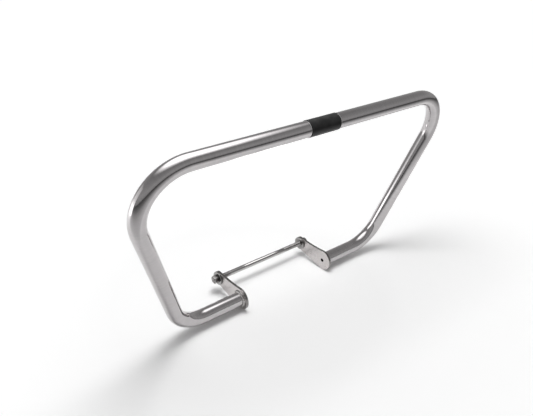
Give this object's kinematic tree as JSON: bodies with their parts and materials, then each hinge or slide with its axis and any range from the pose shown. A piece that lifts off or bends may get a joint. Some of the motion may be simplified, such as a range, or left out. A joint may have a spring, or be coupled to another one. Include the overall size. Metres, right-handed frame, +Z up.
{
  "type": "motorcycle crash bar",
  "caption": "Polished tube bent into an upside-down trapezium, with lug plates welded to its feet, a through rod and a black clamp sleeve.",
  "frame": {"origin": "middle of the through rod's axis, which is where the frame's lower mount sits", "axes": "+X along the rod and the top bar to the rider's right, +Y to the rear wheel, +Z up; the loop leans 14 degrees forward of upright"},
  "size_m": [0.7906, 0.2125, 0.4367],
  "materials": {
    "polished_tube": "stainless steel tube, polished round and along its length",
    "polished_plate": "stainless steel plate, satin polished on its faces, cut edges rounded",
    "weld_metal": "bare rippled weld bead",
    "rod_steel": "bright drawn rod with rolled threads at its ends",
    "fastener_steel": "bright stainless nuts and washers",
    "black_sleeve": "thin black vinyl sleeve, fine matte grain"
  },
  "bodies": {
    "root": {"loop_tube": "polished_tube", "left_lug_plate": "polished_plate", "right_lug_plate": "polished_plate", "left_weld_bead": "weld_metal", "right_weld_bead": "weld_metal", "through_rod": "rod_steel", "left_washer": "fastener_steel", "right_washer": "fastener_steel", "left_nut": "fastener_steel", "right_nut": "fastener_steel", "centre_sleeve": "black_sleeve"}
  },
  "joints": []
}
